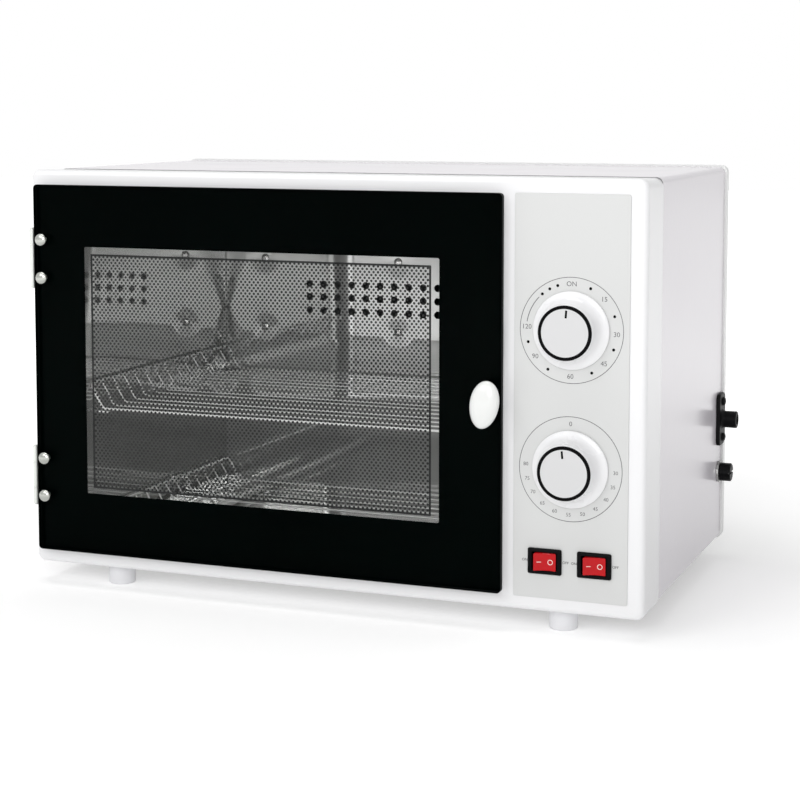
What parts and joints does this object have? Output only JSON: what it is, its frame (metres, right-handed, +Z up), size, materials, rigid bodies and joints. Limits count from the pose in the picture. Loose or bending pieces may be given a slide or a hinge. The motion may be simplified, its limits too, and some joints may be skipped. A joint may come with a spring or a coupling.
{
  "type": "uv sterilizer",
  "caption": "Countertop UV sterilizer and warmer cabinet: side-hinged glass door with dotted window, bright chamber with wire racks, and a control column of dials and rocker switches.",
  "frame": {"origin": "centre of the overall footprint, at the level of the feet's undersides", "axes": "+X to the user's right along the width, +Y from the door to the rear panel, +Z up"},
  "size_m": [0.4644, 0.2776, 0.2995],
  "materials": {
    "white_plastic": "gloss white moulding",
    "white_enamel": "gloss white enamel on steel sheet",
    "zinc_steel": "zinc-plated steel",
    "mirror_steel": "mirror-bright stainless sheet",
    "wire_chrome": "chromed wire",
    "lamp_glass": "quartz lamp tube",
    "holder_white": "moulded off-white",
    "heater_foil": "foil-faced heater",
    "brown_phenolic": "phenolic moulding",
    "grey_print": "printed light grey sheet",
    "grey_cap": "light grey disc",
    "black_plastic": "black moulding",
    "black_rubber": "soft black seal",
    "black_print": "black print behind glass",
    "clear_glass": "toughened flat glass",
    "red_rocker": "translucent red moulding",
    "hinge_steel": "satin plated steel"
  },
  "bodies": {
    "cabinet": {"front_frame": "white_plastic", "outer_cover": "white_enamel", "base_plate": "zinc_steel", "rear_panel": "white_enamel", "foot_front_left": "white_plastic", "foot_front_right": "white_plastic", "foot_rear_left": "white_plastic", "foot_rear_right": "white_plastic", "chamber_liner": "mirror_steel", "chamber_back": "mirror_steel", "floor_runner_left": "wire_chrome", "floor_runner_right": "wire_chrome", "rack_bracket_left": "mirror_steel", "rack_bracket_right": "mirror_steel", "lamp_tube": "lamp_glass", "lamp_holder_left": "holder_white", "lamp_holder_right": "holder_white", "heater_mat": "heater_foil", "ballast": "zinc_steel", "starter": "holder_white", "timer_body": "brown_phenolic", "thermostat_body": "brown_phenolic", "control_overlay": "grey_print", "uv_switch_housing": "black_plastic", "warmer_switch_housing": "black_plastic", "door_gasket": "black_rubber", "magnet_catch": "black_plastic", "upper_hinge_frame_leaf": "hinge_steel", "lower_hinge_frame_leaf": "hinge_steel", "upper_hinge_pin": "hinge_steel", "lower_hinge_pin": "hinge_steel", "gland_plate": "black_plastic", "gland_screw_top": "black_plastic", "gland_screw_bottom": "black_plastic", "fuse_holder": "black_plastic"},
    "door": {"door_glass": "clear_glass", "door_print": "black_print", "door_handle": "white_plastic", "handle_screw": "zinc_steel", "strike_plate": "zinc_steel", "upper_hinge_door_leaf": "hinge_steel", "lower_hinge_door_leaf": "hinge_steel", "upper_hinge_screw_top": "hinge_steel", "upper_hinge_screw_bottom": "hinge_steel", "lower_hinge_screw_top": "hinge_steel", "lower_hinge_screw_bottom": "hinge_steel"},
    "timer_dial": {"timer_knob": "white_plastic", "timer_knob_cap": "grey_cap", "timer_shaft": "zinc_steel"},
    "thermostat_dial": {"thermostat_knob": "white_plastic", "thermostat_knob_cap": "grey_cap", "thermostat_shaft": "zinc_steel"},
    "uv_rocker": {"uv_rocker": "red_rocker"},
    "warmer_rocker": {"warmer_rocker": "red_rocker"},
    "fuse_cap": {"fuse_cap": "black_plastic"},
    "upper_rack": {"upper_rack": "wire_chrome"},
    "lower_rack": {"lower_rack": "wire_chrome"}
  },
  "joints": [
    {"name": "door_hinge", "type": "hinge", "parent": "cabinet", "child": "door", "pos_m": [-0.2295, -0.119, 0.15735], "axis": [0, 0, -1], "range_deg": [0, 160]},
    {"name": "timer_turn", "type": "hinge", "parent": "cabinet", "child": "timer_dial", "pos_m": [0.1693, -0.1177, 0.2009], "axis": [0, 1, 0], "range_deg": [0, 300]},
    {"name": "thermostat_turn", "type": "hinge", "parent": "cabinet", "child": "thermostat_dial", "pos_m": [0.1693, -0.1177, 0.1107], "axis": [0, 1, 0], "range_deg": [0, 270]},
    {"name": "uv_switch_tip", "type": "hinge", "parent": "cabinet", "child": "uv_rocker", "pos_m": [0.1527, -0.1166, 0.0489], "axis": [0, 0, -1], "range_deg": [0, 20]},
    {"name": "warmer_switch_tip", "type": "hinge", "parent": "cabinet", "child": "warmer_rocker", "pos_m": [0.1859, -0.1166, 0.0489], "axis": [0, 0, -1], "range_deg": [0, 20]},
    {"name": "fuse_cap_turn", "type": "hinge", "parent": "cabinet", "child": "fuse_cap", "pos_m": [0.2201, 0.1175, 0.0691], "axis": [-1, 0, 0], "range_deg": [0, 50]},
    {"name": "upper_rack_slide", "type": "slide", "parent": "cabinet", "child": "upper_rack", "axis": [0, -1, 0], "range_m": [0, 0.009]},
    {"name": "lower_rack_slide", "type": "slide", "parent": "cabinet", "child": "lower_rack", "axis": [0, -1, 0], "range_m": [0, 0.009]}
  ]
}
